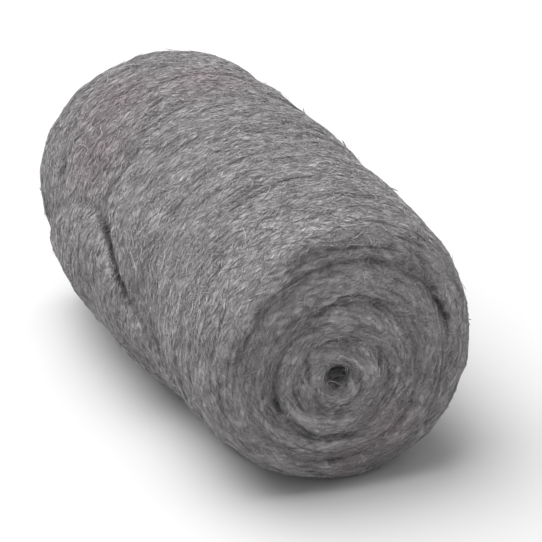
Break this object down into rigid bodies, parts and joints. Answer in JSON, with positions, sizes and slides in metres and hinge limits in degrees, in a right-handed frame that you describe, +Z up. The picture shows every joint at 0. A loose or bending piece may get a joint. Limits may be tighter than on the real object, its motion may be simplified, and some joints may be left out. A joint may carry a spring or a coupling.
{
  "type": "steel wool roll",
  "caption": "Wound roll of steel wool lying on its side, with spiral turns showing at both ends, a small open eye and a tapered tail lapped on the barrel.",
  "frame": {"origin": "on the surface that the roll lies on, under the middle of its bounding box", "axes": "+X along the winding axis, +Z up, +Y to the side"},
  "size_m": [0.1746, 0.0986, 0.0913],
  "materials": {
    "steel_wool": "fine matted steel fibres, dull grey with small glints"
  },
  "bodies": {
    "root": {"steel_wool_roll": "steel_wool"}
  },
  "joints": []
}
